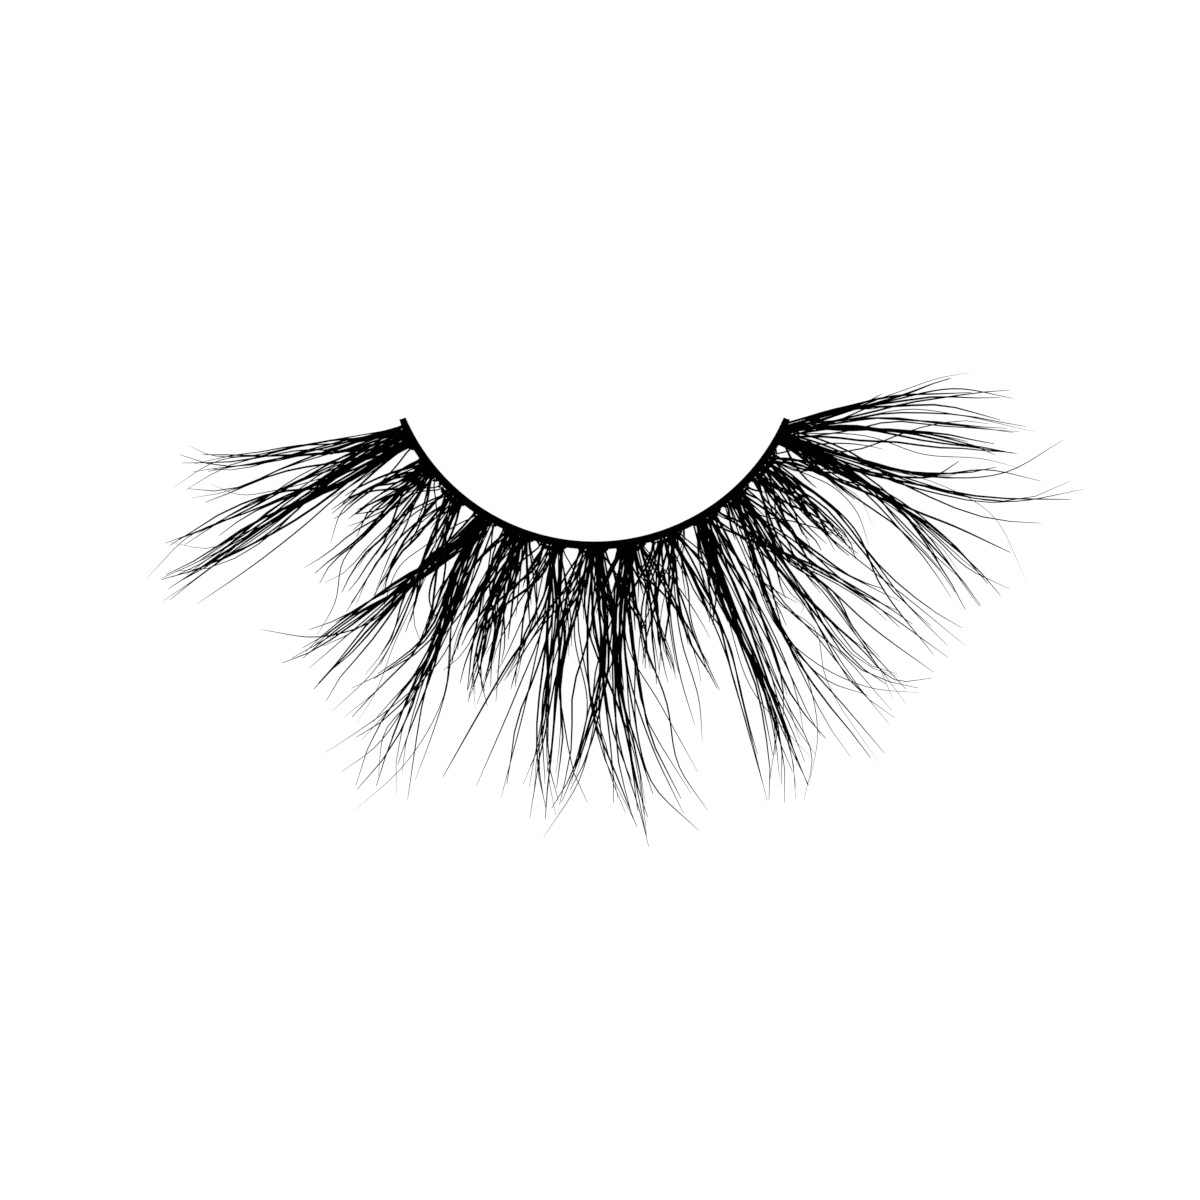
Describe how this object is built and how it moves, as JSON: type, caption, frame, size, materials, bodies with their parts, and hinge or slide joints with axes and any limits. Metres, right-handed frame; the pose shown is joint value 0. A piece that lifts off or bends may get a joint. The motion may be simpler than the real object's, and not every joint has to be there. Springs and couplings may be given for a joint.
{
  "type": "false eyelash strip",
  "caption": "False eyelash strip: a curved thread band that is glued along the eyelid, with curled black hair tied on in crossing fans.",
  "frame": {"origin": "middle of the underside of the thread band, which rests on the surface and takes the glue", "axes": "+X along the band's chord towards the longer outer corner, +Y from the hair towards the eyelid, -Z out of the glued underside"},
  "size_m": [0.0626, 0.032, 0.01],
  "materials": {
    "black_cotton": "twisted cotton thread",
    "black_fibre": "satin synthetic hair"
  },
  "bodies": {
    "root": {"thread_band": "black_cotton", "hair_fan_01": "black_fibre", "hair_fan_02": "black_fibre", "hair_fan_03": "black_fibre", "hair_fan_04": "black_fibre", "hair_fan_05": "black_fibre", "hair_fan_06": "black_fibre", "hair_fan_07": "black_fibre", "hair_fan_08": "black_fibre", "hair_fan_09": "black_fibre", "hair_fan_10": "black_fibre", "hair_fan_11": "black_fibre", "hair_fan_12": "black_fibre", "hair_fan_13": "black_fibre"}
  },
  "joints": []
}
